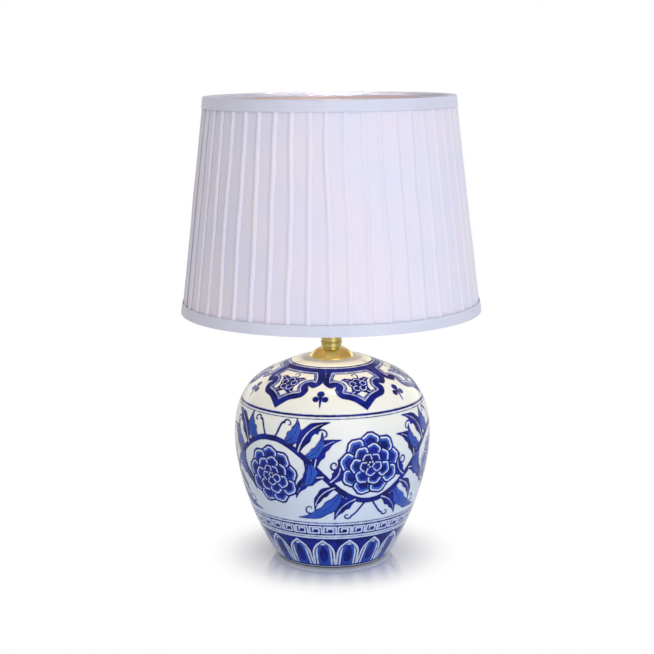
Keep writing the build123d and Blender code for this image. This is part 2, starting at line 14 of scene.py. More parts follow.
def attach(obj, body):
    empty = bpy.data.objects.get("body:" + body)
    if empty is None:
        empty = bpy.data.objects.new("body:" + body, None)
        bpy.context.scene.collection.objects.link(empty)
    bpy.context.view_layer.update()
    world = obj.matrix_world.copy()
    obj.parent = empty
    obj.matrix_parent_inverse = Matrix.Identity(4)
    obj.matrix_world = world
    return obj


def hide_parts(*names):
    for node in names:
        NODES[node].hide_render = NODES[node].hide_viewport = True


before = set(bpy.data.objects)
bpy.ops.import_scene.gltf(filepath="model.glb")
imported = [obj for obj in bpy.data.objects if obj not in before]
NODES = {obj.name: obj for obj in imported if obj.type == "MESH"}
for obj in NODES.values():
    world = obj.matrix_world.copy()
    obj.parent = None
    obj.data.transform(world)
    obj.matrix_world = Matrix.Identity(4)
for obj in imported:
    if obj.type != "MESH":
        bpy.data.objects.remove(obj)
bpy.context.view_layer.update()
MM = 0.001
TAU = 2 * math.pi

# --- helpers --------------------------------------------------------------------------


def linear(colour):
    """The linear colour of an sRGB hex value."""
    channels = [int(colour[at : at + 2], 16) / 255 for at in (0, 2, 4)]
    return [c / 12.92 if c <= 0.04045 else ((c + 0.055) / 1.055) ** 2.4 for c in channels] + [1.0]


def add(tree, kind, inputs=None, **settings):
    """Add one node with its settings; an input is a value or another node's output."""
    node = tree.nodes.new(kind)
    for name, value in settings.items():
        setattr(node, name, value)
    for key, value in (inputs or {}).items():
        if isinstance(value, bpy.types.NodeSocket):
            tree.links.new(value, node.inputs[key])
        else:
            node.inputs[key].default_value = value
    return node


def finish_named(name, **surface):
    """A new material: its node tree and its surface shader, with constants on its own sockets."""
    material = bpy.data.materials.new(name)
    material.use_nodes = True
    tree = material.node_tree
    tree.nodes.clear()
    shader = add(tree, "ShaderNodeBsdfPrincipled", surface)
    add(tree, "ShaderNodeOutputMaterial", {"Surface": shader.outputs[0]})
    return material, tree, shader


def mesh_piece(name, points, faces, material, body):
    """A mesh object made from points in millimetres, riding on a body."""
    mesh = bpy.data.meshes.new(name)
    mesh.from_pydata((np.asarray(points, float) * MM).tolist(), [], faces)
    mesh.polygons.foreach_set("use_smooth", [True] * len(mesh.polygons))
    mesh.materials.append(material)
    mesh.update()
    piece = bpy.data.objects.new(name, mesh)
    bpy.context.scene.collection.objects.link(piece)
    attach(piece, body)
    return piece


def grid_faces(rows, columns, close_rows=False):
    """Quads between rows of points that each go round; the last row may meet the first."""
    row = np.arange(rows if close_rows else rows - 1)[:, None]
    column = np.arange(columns)[None, :]
    above = (row + 1) % rows
    beside = (column + 1) % columns
    corners = (
        row * columns + column,
        row * columns + beside,
        above * columns + beside,
        above * columns + column,
    )
    quads = [np.broadcast_to(corner, (row.size, column.size)) for corner in corners]
    return np.stack(quads, -1).reshape(-1, 4)


def turned(outline, columns):
    """Points of an outline of (radius, height) turned round the lamp's axis, row by row."""
    outline = np.asarray(outline, float)
    turns = np.arange(columns) / columns * TAU
    return np.stack(
        [
            np.outer(outline[:, 0], np.cos(turns)),
            np.outer(outline[:, 0], np.sin(turns)),
            np.repeat(outline[:, 1:], columns, 1),
        ],
        -1,
    ).reshape(-1, 3)


def bezier(a, b, c, d, count):
    """Points along a curve from a to d, pulled towards b and c."""
    t = np.linspace(0, 1, count)[:, None]
    a, b, c, d = (np.array(p, float) for p in (a, b, c, d))
    return a * (1 - t) ** 3 + 3 * b * t * (1 - t) ** 2 + 3 * c * t**2 * (1 - t) + d * t**3


def rounded(before, corner, after, count=4):
    """Points round a corner, from one side of it to the other."""
    return bezier(before, corner, corner, after, count)


# --- camera: the photograph's own view ------------------------------------------------
IMAGE = 654
FOCAL = 1499.3            # pixels
EYE = (-0.0044, -1.4809, 0.5128)         # metres
LOOKS_DOWN, LEANS = 0.186, math.radians(-0.5)
camera_data = bpy.data.cameras.new("camera")
camera_data.sensor_width = 36.0
camera_data.lens = FOCAL / IMAGE * camera_data.sensor_width
camera = bpy.data.objects.new("camera", camera_data)
bpy.context.scene.collection.objects.link(camera)
camera.matrix_world = (
    Matrix.Translation(EYE)
    @ Matrix.Rotation(math.pi / 2 - LOOKS_DOWN, 4, "X")
    @ Matrix.Rotation(LEANS, 4, "Z")
)
bpy.context.scene.camera = camera

# --- studio: white sweep, soft lamps, all at a plain level ----------------------------
scene = bpy.context.scene
scene.view_settings.view_transform = "Standard"
AMBIENT = 0.47            # the level that lights the lamp, where the camera sees a white of 1
MIRRORED = 0.4            # how far from that level up to white gloss mirrors the studio

world = bpy.data.worlds.new("studio")
scene.world = world
world.use_nodes = True
sky = world.node_tree
sky.nodes.clear()
rays = add(sky, "ShaderNodeLightPath")
seen = add(
    sky,
    "ShaderNodeMath",
    {0: rays.outputs["Is Camera Ray"], 1: rays.outputs["Is Transmission Ray"]},
    operation="MAXIMUM",
)
mirrored_part = add(
    sky, "ShaderNodeMath", {0: rays.outputs["Is Glossy Ray"], 1: MIRRORED}, operation="MULTIPLY"
)
bright = add(
    sky, "ShaderNodeMath", {0: seen.outputs[0], 1: mirrored_part.outputs[0]}, operation="MAXIMUM"
)
level = add(
    sky, "ShaderNodeMapRange", {"Value": bright.outputs[0], "To Min": AMBIENT, "To Max": 1.0}
)
backdrop = add(
    sky,
    "ShaderNodeBackground",
    {"Color": linear("FFFFFF"), "Strength": level.outputs["Result"]},
)
add(sky, "ShaderNodeOutputWorld", {"Surface": backdrop.outputs[0]})


def softbox(name, place, aim, size, power, colour, spread=180, mirrored=True):
    """A round soft lamp in metres, watts and degrees, pointed at a place and not itself seen."""
    lamp = bpy.data.lights.new(name, "AREA")
    lamp.shape = "DISK"
    lamp.size = size
    lamp.energy = power
    lamp.color = linear(colour)[:3]
    lamp.spread = math.radians(spread)
    holder = bpy.data.objects.new(name, lamp)
    scene.collection.objects.link(holder)
    holder.location = place
    holder.rotation_euler = (Vector(aim) - Vector(place)).to_track_quat("-Z", "Y").to_euler()
    holder.visible_camera = False
    holder.visible_glossy = mirrored


middle = (0, 0, 0.25)
softbox("front_right", (0.85, -2.0, 0.85), middle, 1.9, 22, "F0F1FF")
softbox("front_left", (-1.6, -1.4, 0.5), middle, 1.6, 2.6, "FFE2BC")
softbox("back_right", (1.4, 1.6, 1.1), middle, 1.8, 11, "FFFCF6")
softbox("back_left", (-1.3, 1.7, 1.1), middle, 1.8, 9, "FBFBFF")
# light that the pale table throws up in front
softbox("low_front", (0.2, -1.1, 0.07), (0, -0.1, 0.27), 0.4, 1.3, "F4F4FF", mirrored=False)
# narrow ones: over the front rim on the inside of the back wall, and down on the jar's shoulder
softbox("into_shade", (0.0, -0.75, 1.05), (0, 0.118, 0.455), 0.08, 0.06, "FFF4EE", spread=12)
softbox("on_shoulder", (0.0, 0.0, 1.5), (0, 0, 0.2), 0.14, 0.04, "FFF3DC", spread=8)

# a white lacquered table: near the foot it keeps a soft shadow and an image of the jar, and
# farther off it runs out into the white of the studio
table_finish, tree, shader = finish_named(
    "white_lacquered_table",
    **{"Base Color": linear("F4F4F4"), "IOR": 1.6, "Coat Weight": 1.0, "Coat IOR": 1.6},
)
spot = add(tree, "ShaderNodeTexCoord").outputs["Object"]
away = add(tree, "ShaderNodeVectorMath", {0: spot}, operation="LENGTH")
blur = add(
    tree,
    "ShaderNodeMapRange",
    {
        "Value": away.outputs["Value"],
        "From Min": 0.09,
        "From Max": 0.16,
        "To Min": 0.06,
        "To Max": 0.5,
    },
)
for layer in ("Roughness", "Coat Roughness"):
    tree.links.new(blur.outputs["Result"], shader.inputs[layer])
white_out = add(
    tree,
    "ShaderNodeMapRange",
    {"Value": away.outputs["Value"], "From Min": 0.055, "From Max": 0.135},
    interpolation_type="SMOOTHSTEP",
)
rays = add(tree, "ShaderNodeLightPath")
share = add(
    tree,
    "ShaderNodeMath",
    {0: white_out.outputs["Result"], 1: rays.outputs["Is Camera Ray"]},
    operation="MULTIPLY",
)
sweep = add(tree, "ShaderNodeEmission", {"Color": linear("FFFFFF"), "Strength": 1.0})
plain = add(
    tree,
    "ShaderNodeMixShader",
    {0: share.outputs[0], 1: shader.outputs[0], 2: sweep.outputs[0]},
)
tree.links.new(plain.outputs[0], tree.nodes["Material Output"].inputs["Surface"])
TABLE_REACH = 30.0        # metres, from the lamp to each edge
table_mesh = bpy.data.meshes.new("table_top")
table_mesh.from_pydata(
    [(x * TABLE_REACH, y * TABLE_REACH, 0) for x, y in ((-1, -1), (1, -1), (1, 1), (-1, 1))],
    [],
    [(0, 1, 2, 3)],
)
table_mesh.materials.append(table_finish)
table_top = bpy.data.objects.new("table_top", table_mesh)
scene.collection.objects.link(table_top)

# --- finishes -------------------------------------------------------------------------


def position(tree, stretch=(1.0, 1.0, 1.0)):
    """Place on the object in metres, stretched for grain or brushing that runs one way."""
    place = add(tree, "ShaderNodeTexCoord")
    return add(
        tree, "ShaderNodeMapping", {"Vector": place.outputs["Object"], "Scale": stretch}
    ).outputs[0]


def speckled(tree, colours, size, contrast=(0.35, 0.65), stretch=(1.0, 1.0, 1.0)):
    """Two colours mixed in soft patches of a size in mm; gives the colour and the patches."""
    noise = add(
        tree,
        "ShaderNodeTexNoise",
        {"Vector": position(tree, stretch), "Scale": 1000 / size, "Detail": 3.0},
    )
    patches = add(
        tree,
        "ShaderNodeMapRange",
        {"Value": noise.outputs["Fac"], "From Min": contrast[0], "From Max": contrast[1]},
        interpolation_type="SMOOTHSTEP",
    ).outputs["Result"]
    mixed = add(
        tree,
        "ShaderNodeMix",
        {0: patches, 6: linear(colours[0]), 7: linear(colours[1])},
        data_type="RGBA",
    )
    return mixed.outputs[2], patches


def plain_finish(name, colours, size, relief, rough, stretch=(1.0, 1.0, 1.0), **surface):
    """A finish of two near colours in patches, with relief in mm and uneven gloss."""
    material, tree, shader = finish_named(name, **surface)
    colour, patches = speckled(tree, colours, size, stretch=stretch)
    gloss = add(
        tree, "ShaderNodeMapRange", {"Value": patches, "To Min": rough[0], "To Max": rough[1]}
    )
    bump = add(
        tree,
        "ShaderNodeBump",
        {"Height": patches, "Distance": relief * MM, "Strength": 1.0},
    )
    tree.links.new(colour, shader.inputs["Base Color"])
    tree.links.new(gloss.outputs["Result"], shader.inputs["Roughness"])
    tree.links.new(bump.outputs["Normal"], shader.inputs["Normal"])
    return material


# spun and lacquered brass: warm, mirror-like, with hair-fine rings left by the lathe
polished_brass = plain_finish(
    "spun_lacquered_brass",
    ("F3D97C", "F6DD84"),
    0.9,
    0.0008,
    stretch=(0.05, 0.05, 3.0),
    rough=(0.23, 0.26),
    Metallic=1.0,
)
# turned brass bar, less polished and a little olive with age
turned_brass = plain_finish(
    "turned_aged_brass",
    ("BFAF6A", "C6B671"),
    0.8,
    0.0008,
    stretch=(0.05, 0.05, 3.0),
    rough=(0.17, 0.2),
    Metallic=1.0,
)
zinc_steel = plain_finish(
    "zinc_plated_steel",
    ("B4B4AE", "C6C8C6"),
    2.5,
    0.004,
    rough=(0.28, 0.42),
    Metallic=1.0,
)
contact_brass = plain_finish(
    "stamped_contact_brass",
    ("C9A75C", "D8BC78"),
    2.0,
    0.004,
    rough=(0.28, 0.42),
    Metallic=1.0,
)
bulb_metal = plain_finish(
    "rolled_aluminium_cap", ("BDBDBB", "D2D2D0"), 2.0, 0.004, rough=(0.3, 0.42), Metallic=1.0
)
solder = plain_finish(
    "tinned_solder", ("9FA0A2", "C4C5C7"), 1.2, 0.05, rough=(0.3, 0.5), Metallic=1.0
)
holder_plastic = plain_finish(
    "moulded_urea_plastic",
    ("EDEAE0", "F2F0E8"),
    3.0,
    0.01,
    rough=(0.28, 0.36),
    IOR=1.5,
)
steatite = plain_finish(
    "fired_steatite", ("E4DFD3", "EFEBE2"), 0.8, 0.03, rough=(0.55, 0.7), IOR=1.55
)
white_rubber = plain_finish(
    "moulded_white_rubber", ("D4D4CE", "DEDED9"), 1.2, 0.02, rough=(0.6, 0.72), IOR=1.5
)
black_rubber = plain_finish(
    "moulded_black_rubber", ("191919", "232323"), 1.2, 0.02, rough=(0.6, 0.75), IOR=1.5
)
black_glass = plain_finish(
    "fused_black_glass", ("08080A", "101014"), 1.5, 0.01, rough=(0.08, 0.16), IOR=1.52
)
white_enamel = plain_finish(
    "dipped_white_enamel", ("ECECEA", "F3F3F1"), 2.0, 0.02, rough=(0.22, 0.32), IOR=1.5
)
# blown glass with a white coat inside: milky, bright and smooth
opal_glass = plain_finish(
    "blown_opal_glass", ("F6F4EE", "FBFAF6"), 14.0, 0.0, rough=(0.12, 0.16), IOR=1.5
)
# laminated film, its face a warm white paper with a fine tooth
lining_film = plain_finish(
    "laminated_lining_film", ("FCE9E2", "FFF0EA"), 1.1, 0.012, rough=(0.6, 0.7), IOR=1.45
)

FINISHES = {
    "cord_outlet_bush": white_rubber,
    "mouth_bush": black_rubber,
    "brass_cap": polished_brass,
    "neck_collar": turned_brass,
    "nipple": zinc_steel,
    "clamp_disc": zinc_steel,
    "lock_washer": zinc_steel,
    "clamp_nut": zinc_steel,
    "holder_cap": holder_plastic,
    "holder_grub_screw": zinc_steel,
    "holder_body": holder_plastic,
    "holder_insert": steatite,
    "terminal_blocks": contact_brass,
    "terminal_screws": zinc_steel,
    "centre_contact": contact_brass,
    "side_contact": contact_brass,
    "screw_shell": contact_brass,
    "lower_shade_ring": holder_plastic,
    "upper_shade_ring": holder_plastic,
    "bulb_glass": opal_glass,
    "bulb_cap": bulb_metal,
    "bulb_insulator": black_glass,
    "bulb_contact": solder,
    "top_wire_ring": white_enamel,
    "bottom_wire_ring": white_enamel,
    "fitter_ring": white_enamel,
    "fitter_spokes": white_enamel,
    "shade_liner": lining_film,
}
for node, finish in FINISHES.items():
    for material_slot in NODES[node].material_slots:
        material_slot.material = finish

# --- jar: thrown and turned, glazed over a painting in cobalt -------------------------
FOOT_Z, JAR_TOP = 2.0, 205.0
FOOT, BELLY, SHOULDER, COLLAR, SEAT, MOUTH = 58.0, 99.0, 61.0, 38.6, 24.0, 13.0   # radii
BELLY_SHARE = 0.611       # of the jar's height, up to its widest place
BELLY_Z = FOOT_Z + BELLY_SHARE * (JAR_TOP - FOOT_Z)
COLLAR_Z = JAR_TOP - 2.6   # where the shoulder meets the nearly flat seat
LEAN, SLOPE = math.radians(35), math.radians(23.5)   # of the wall at the foot and the shoulder
# how far the wall's curves are pulled, as shares of their heights or widths
FOOT_PULL, BELLY_PULL_DOWN, BELLY_PULL_UP, SHOULDER_PULL = 0.323, 0.290, 0.593, 0.645
FOOT_RECESS, FOOT_RING, FLOOR_HOLE = 3.0, 8.0, 30.0   # depth, width and radius
CURVE_POINTS = 400
SHOULDER_Z = COLLAR_Z - (SHOULDER - COLLAR) * math.tan(SLOPE)
WALL = 6.0
JAR_COLUMNS = 720
SECTORS = 3               # the painting repeats three times round the jar
ROW_PITCH = 0.86          # of the painted rows, about one column apart at the belly
PAINTING_TURN = math.radians(-90 + 22)   # where a flower faces, a little right of the front

belly_rise = BELLY_Z - FOOT_Z
foot_pull = FOOT_PULL * belly_rise
shoulder_pull = SHOULDER_PULL * (BELLY - SHOULDER)
wall_line = np.concatenate(
    [
        bezier(
            (FOOT, FOOT_Z),
            (FOOT + foot_pull * math.sin(LEAN), FOOT_Z + foot_pull * math.cos(LEAN)),
            (BELLY, BELLY_Z - BELLY_PULL_DOWN * belly_rise),
            (BELLY, BELLY_Z),
            CURVE_POINTS,
        ),
        bezier(
            (BELLY, BELLY_Z),
            (BELLY, BELLY_Z + BELLY_PULL_UP * (SHOULDER_Z - BELLY_Z)),
            (
                SHOULDER + shoulder_pull * math.cos(SLOPE),
                SHOULDER_Z - shoulder_pull * math.sin(SLOPE),
            ),
            (SHOULDER, SHOULDER_Z),
            CURVE_POINTS,
        )[1:],
        [(COLLAR, COLLAR_Z), (SEAT, JAR_TOP)],
    ]
)
wall_run = np.concatenate([[0], np.cumsum(np.hypot(*np.diff(wall_line, axis=0).T))])
# how far each painted row is up the wall from the foot's edge
rise = np.arange(1.2, wall_run[-1] - 0.8, ROW_PITCH)
painted = np.stack([np.interp(rise, wall_run, wall_line[:, k]) for k in (0, 1)], -1)

aside = np.gradient(painted, axis=0)
aside = np.stack([-aside[:, 1], aside[:, 0]], -1) / np.hypot(*aside.T)[:, None]
wall_inside = painted + aside * WALL
# inside, every 14th row is enough, between the floor and the turn to the mouth
inner = wall_inside[::14]
inner = inner[(inner[:, 1] > FOOT_Z + WALL + 1.5) & (inner[:, 1] < JAR_TOP - WALL - 0.6)]
inner_floor = FOOT_Z + WALL
# the inside of the wall where it comes down to the floor
low_levels = inner_floor + np.array([0.0, 0.8, 4.0])
low_radii = np.interp(low_levels, wall_inside[:60, 1], wall_inside[:60, 0])
corner, above_corner, low_wall = zip(low_radii, low_levels)
recess = FOOT_Z + FOOT_RECESS
foot_inner = FOOT - FOOT_RING
# the whole section: foot ring, painted wall, seat, mouth, then down the inside to the floor,
# its hole and the recess under it
jar_outline = np.concatenate(
    [
        rounded((foot_inner, FOOT_Z + 0.8), (foot_inner, FOOT_Z), (foot_inner + 0.8, FOOT_Z)),
        [(FOOT - 4.0, FOOT_Z)],
        rounded((FOOT - 0.8, FOOT_Z), (FOOT, FOOT_Z), painted[0], 5)[:-1],
        painted,
        [(SEAT - 1, JAR_TOP), (SEAT - 5, JAR_TOP)],
        rounded((MOUTH + 1, JAR_TOP), (MOUTH, JAR_TOP), (MOUTH, JAR_TOP - 1)),
        rounded(
            (MOUTH, JAR_TOP - WALL + 0.8),
            (MOUTH, JAR_TOP - WALL),
            (MOUTH + 0.8, JAR_TOP - WALL),
        ),
        [(SEAT - 1.5, JAR_TOP - WALL)],
        inner[::-1],
        [low_wall],
        rounded(above_corner, corner, (corner[0] - 0.8, inner_floor)),
        [(FLOOR_HOLE + 10, inner_floor)],
        rounded(
            (FLOOR_HOLE + 0.7, inner_floor),
            (FLOOR_HOLE, inner_floor),
            (FLOOR_HOLE, inner_floor - 0.7),
        ),
        rounded((FLOOR_HOLE, recess + 0.7), (FLOOR_HOLE, recess), (FLOOR_HOLE + 0.7, recess)),
        [(foot_inner - 4, recess)],
        rounded((foot_inner - 1, recess), (foot_inner, recess), (foot_inner, recess - 0.8)),
    ]
)
first_painted = 4 + 1 + 4   # points of the outline before the painted rows

# --- jar: what is painted on it, in one sector that repeats ---------------------------
SECTOR = TAU / SECTORS
sector_turns = np.arange(JAR_COLUMNS // SECTORS) / JAR_COLUMNS * TAU
row_radius = painted[:, 0]
FAR = -30.0               # mm outside every painted line
# signed distances in mm, positive inside: dark lines and fills, and the paler wash; shade is
# how strong the wash is, from 0 to 1
ink, wash = (np.full((len(painted), len(sector_turns)), FAR) for _ in range(2))
shade = np.full(ink.shape, 0.5)


def stroke(x, y, points, widths):
    """How deep each place lies in a brush stroke, whose width is given at every point."""
    widths = np.broadcast_to(np.asarray(widths, float), (len(points),))
    inside = np.full(x.shape, FAR)
    for (ax, ay), (bx, by), wa, wb in zip(points, points[1:], widths, widths[1:]):
        dx, dy = bx - ax, by - ay
        along = np.clip(((x - ax) * dx + (y - ay) * dy) / (dx * dx + dy * dy + 1e-9), 0, 1)
        apart = np.hypot(x - ax - along * dx, y - ay - along * dy)
        inside = np.maximum(inside, (wa + (wb - wa) * along) / 2 - apart)
    return inside


def shape(x, y, points):
    """How deep each place lies in a closed outline."""
    points = np.asarray(points, float)
    apart = np.full(x.shape, -FAR)
    inside = np.zeros(x.shape, bool)
    for (ax, ay), (bx, by) in zip(points, np.roll(points, -1, 0)):
        dx, dy = bx - ax, by - ay
        along = np.clip(((x - ax) * dx + (y - ay) * dy) / (dx * dx + dy * dy + 1e-9), 0, 1)
        apart = np.minimum(apart, np.hypot(x - ax - along * dx, y - ay - along * dy))
        crosses = (ay > y) != (by > y)
        inside ^= crosses & (x < dx * (y - ay) / (dy if dy else 1e-9) + ax)
    return np.where(inside, apart, -apart)


def flowing(points, count=6):
    """A smooth line through points."""
    p = np.asarray(points, float)
    p = np.concatenate([[2 * p[0] - p[1]], p, [2 * p[-1] - p[-2]]])
    t = np.linspace(0, 1, count, endpoint=False)[:, None]
    runs = [
        0.5
        * (
            2 * b
            + (c - a) * t
            + (2 * a - 5 * b + 4 * c - d) * t**2
            + (3 * b - a - 3 * c + d) * t**3
        )
        for a, b, c, d in zip(p, p[1:], p[2:], p[3:])
    ]
    return np.concatenate(runs + [p[-2:-1]])


def paint(turn, level, half_width, low, high, motif, flip=1):
    """Run one motif about a place on the sector: motif(x, y, brush), in mm from that place."""
    turned_by = (sector_turns[None, :] - turn + SECTOR / 2) % SECTOR - SECTOR / 2
    x = turned_by * row_radius[:, None]
    y = np.broadcast_to((rise - level)[:, None], x.shape)
    spot = (np.abs(x) < half_width) & (y > low) & (y < high)
    brush = {"ink": ink[spot], "wash": wash[spot], "shade": shade[spot]}
    motif(x[spot] * flip, y[spot], brush)
    ink[spot], wash[spot], shade[spot] = brush["ink"], brush["wash"], brush["shade"]


def clear(brush, inside):
    """Wipe out what was painted there before."""
    for layer in ("ink", "wash"):
        brush[layer] = np.minimum(brush[layer], -inside)


def line(brush, inside):
    """Paint in dark cobalt."""
    brush["ink"] = np.maximum(brush["ink"], inside)


def tint(brush, inside, strength):
    """Paint in the paler wash."""
    brush["shade"] = np.where(inside > -0.6, strength, brush["shade"])
    brush["wash"] = np.maximum(brush["wash"], inside)


def petal_ring(x, y, brush, count, reach, size, width, start, strength):
    """Petals round a centre, each over the one before it, with a white rim inside its line."""
    for k in range(count):
        turn = start + TAU * k / count
        px, py = x - reach * math.cos(turn), y - reach * math.sin(turn)
        out = px * math.cos(turn) + py * math.sin(turn)
        side = -px * math.sin(turn) + py * math.cos(turn)
        around = np.arctan2(side, out)
        edge = size * (1 + 0.07 * np.cos(5 * around) - 0.10 * np.exp(-((around / 0.25) ** 2)))
        inside = edge - np.hypot(out, side)
        clear(brush, inside)
        inner = inside - 0.16 * size - 0.8
        strong = np.clip(strength + 0.35 * (-out / size), 0, 1)
        tint(brush, inner, strong)
        line(brush, inside - 0.5 * size)
        line(brush, width / 2 - np.abs(inside))
        for vein in (-0.5, 0.0, 0.5):
            tip = (0.45 * size * math.cos(vein), 0.45 * size * math.sin(vein))
            line(brush, stroke(out, side, [(-0.5 * size, 0), tip], (0.7, 0.25)))


def lotus(size):
    """A flower of three rings of petals about a heart with seeds."""

    def motif(x, y, brush):
        petal_ring(x, y, brush, 9, 0.70 * size, 0.30 * size, 2.0, 0.2, 0.6)
        petal_ring(x, y, brush, 7, 0.44 * size, 0.25 * size, 1.8, 0.5, 0.8)
        petal_ring(x, y, brush, 5, 0.22 * size, 0.18 * size, 1.6, 0.9, 1.0)
        heart = 0.15 * size - np.hypot(x, y)
        clear(brush, heart)
        line(brush, heart)
        for k in range(6):
            turn = TAU * k / 6
            seed = 0.030 * size - np.hypot(
                x - 0.085 * size * math.cos(turn), y - 0.085 * size * math.sin(turn)
            )
            clear(brush, seed)

    return motif


def leaf(brush, x, y, root, tip, bow, width, strength):
    """A bowed leaf from root to tip: solid when strength is 1, or else outline, wash and vein."""
    root, tip = np.array(root, float), np.array(tip, float)
    way = tip - root
    side = np.array([-way[1], way[0]])
    t = np.linspace(0, 1, 15)[:, None]
    middle = root + way * t + side * bow * 4 * t * (1 - t)
    run = way + side * bow * 4 * (1 - 2 * t)
    square = np.stack([-run[:, 1], run[:, 0]], -1) / np.hypot(*run.T)[:, None]
    lobed = 1 + 0.14 * np.cos(t * TAU * 3)
    swell = 1.12 * width / 2 * np.sin(np.pi * t**0.7) ** 1.1 * lobed * square
    outline = np.concatenate([middle + swell, (middle - swell)[::-1]])
    inside = shape(x, y, outline)
    vein = stroke(x, y, middle[:-2], np.linspace(1.2, 0.6, 13))
    clear(brush, inside)
    if strength < 1:
        tint(brush, inside - 0.2, strength)
        line(brush, 0.6 - np.abs(inside))
        line(brush, vein)
    else:
        line(brush, np.minimum(inside + 0.3, -vein))


CURL_POINTS = 14


def curl(centre, start, sweep, size):
    """Points of a tendril that winds in to its centre."""
    t = np.linspace(0, 1, CURL_POINTS)
    turn = start + sweep * t
    reach = size * (1 - 0.82 * t)
    return np.stack([centre[0] + reach * np.cos(turn), centre[1] + reach * np.sin(turn)], -1)


BAND_MIDDLE = 116.0       # up the wall, of the flower scroll
WAVE = 31.0               # half of the stem's rise and fall
BAND_RADIUS = 96.0        # of the jar, where the scroll is measured
half_wave = SECTOR / 2 * BAND_RADIUS


def stem_height(x):
    """Height of the waving stem above the middle of its band."""
    return -WAVE * np.cos(np.pi * x / half_wave)


def scroll_stem(x, y, brush):
    """The waving stem that the flowers grow on."""
    run = np.linspace(-half_wave * 1.02, half_wave * 1.02, 60)
    line(brush, stroke(x, y, np.stack([run, stem_height(run)], -1), 5.6))


def half_scroll(x, y, brush):
    """What grows on the stem on one side of a flower that stands over the stem's dip."""
    for share, reach, centre, start, sweep, size in (
        (0.22, (44, -42), (57, -39), 3.6, 5.4, 6.5),
        (0.80, (60, 40), (46, 38), 0.2, 5.4, 6.0),
        (0.36, (37, -4), (36, 8), -1.6, 5.2, 5.0),
        (0.66, (64, 3), (66, -8), 1.6, 5.2, 5.0),
        (0.97, (88, 46), (80, 47), 0.1, 5.0, 4.6),
        (0.03, (12, -44), (20, -47), 3.2, 5.0, 4.4),
    ):
        root = (share * half_wave, float(stem_height(share * half_wave)))
        points = np.concatenate([[root, reach], curl(centre, start, sweep, size)])
        points = flowing(points, 3)
        line(brush, stroke(x, y, points, np.linspace(2.0, 1.0, len(points))))
    for share, tip, bow, width, strength in (
        (0.13, (32, -52), 0.16, 10.5, 1.0),
        (0.28, (67, -50), -0.16, 11.0, 0.8),
        (0.40, (33, 14), 0.22, 9.5, 1.0),
        (0.46, (72, -28), 0.22, 11.0, 1.0),
        (0.55, (29, 33), -0.22, 11.0, 1.0),
        (0.61, (69, -16), -0.24, 9.5, 0.8),
        (0.72, (38, 50), -0.16, 10.5, 1.0),
        (0.86, (70, 53), 0.16, 10.0, 0.8),
        (0.34, (52, -41), 0.20, 8.0, 1.0),
        (0.66, (47, 40), 0.20, 8.0, 0.7),
    ):
        root = (share * half_wave, float(stem_height(share * half_wave)))
        leaf(brush, x, y, root, tip, bow, width, strength)


# belly: a flower over each dip of the stem and one under each rise
for flip in (1, -1):
    paint(0.0, BAND_MIDDLE, half_wave + 3, -56, 56, scroll_stem, flip)
for flip in (1, -1):
    paint(0.0, BAND_MIDDLE, half_wave + 4, -58, 58, half_scroll, flip)
paint(0.0, BAND_MIDDLE + 7, 36, -36, 36, lotus(32.0))
paint(SECTOR / 2, BAND_MIDDLE - 7, 36, -36, 36, lotus(30.0))

RUYI_TOP = 231.0          # up the wall, where the lappets hang from
RUYI_PER_SECTOR = 2
ruyi_pitch = SECTOR / RUYI_PER_SECTOR


def ruyi(x, y, brush):
    """A cloud-headed lappet hanging from the collar."""
    right = []
    # share of the pitch and height: its side down to the notch, then its middle lobe
    for points in (
        [(0.50, 3.0), (0.53, -12.0), (0.49, -22.0), (0.39, -28.5), (0.31, -26.0)],
        [(0.31, -26.0), (0.33, -33.0), (0.27, -40.5), (0.13, -45.0), (0.0, -55.0)],
    ):
        across, up = np.array(points).T
        radius = np.interp(up + RUYI_TOP, rise, row_radius)
        right.append(flowing(np.stack([across * ruyi_pitch * radius, up], -1)))
    right = np.concatenate(right)
    inside = shape(x, y, np.concatenate([right, right[::-1] * (-1, 1)]))
    clear(brush, inside)
    line(brush, 3.4 - np.abs(inside - 3.4))
    line(brush, 0.6 - np.abs(inside - 9.4))
    tint(brush, np.minimum(inside - 7.4, 8.7 - inside), 0.5)


def sprig(x, y, brush):
    """A small five-petalled flower with leaves inside a lappet."""
    for tip, bow in (((15, 8), 0.2), ((-15, 8), -0.2), ((12, -11), -0.2), ((-12, -11), 0.2)):
        leaf(brush, x, y, (tip[0] * 0.35, tip[1] * 0.35), tip, bow, 6.5, 1.0)
    line(brush, stroke(x, y, curl((0, 14), -1.5, 5.0, 5.0), np.linspace(1.4, 0.8, CURL_POINTS)))
    petal_ring(x, y, brush, 5, 5.8, 4.4, 1.6, math.pi / 2, 0.8)
    line(brush, 2.0 - np.hypot(x, y))


for k in range(RUYI_PER_SECTOR):
    paint(k * ruyi_pitch, RUYI_TOP, 46, -60, 4, ruyi)
for k in range(RUYI_PER_SECTOR):
    paint(k * ruyi_pitch, RUYI_TOP - 25, 22, -24, 24, sprig)


def dart(x, y, brush):
    """A small three-lobed drop between two lappets."""
    for px, py, size in ((0, 6, 3.6), (-4.6, 0, 3.2), (4.6, 0, 3.2)):
        line(brush, size - np.hypot(x - px, y - py))
    line(brush, stroke(x, y, [(0, 4), (0, -9)], (4.0, 0.8)))


for k in range(RUYI_PER_SECTOR):
    paint((k + 0.5) * ruyi_pitch, RUYI_TOP - 42, 16, -14, 14, dart)

# foot: upright pointed petals on a cobalt ground
LAPPET_TOP, LAPPET_FOOT = 41.0, 4.5
LAPPETS_PER_SECTOR = 6


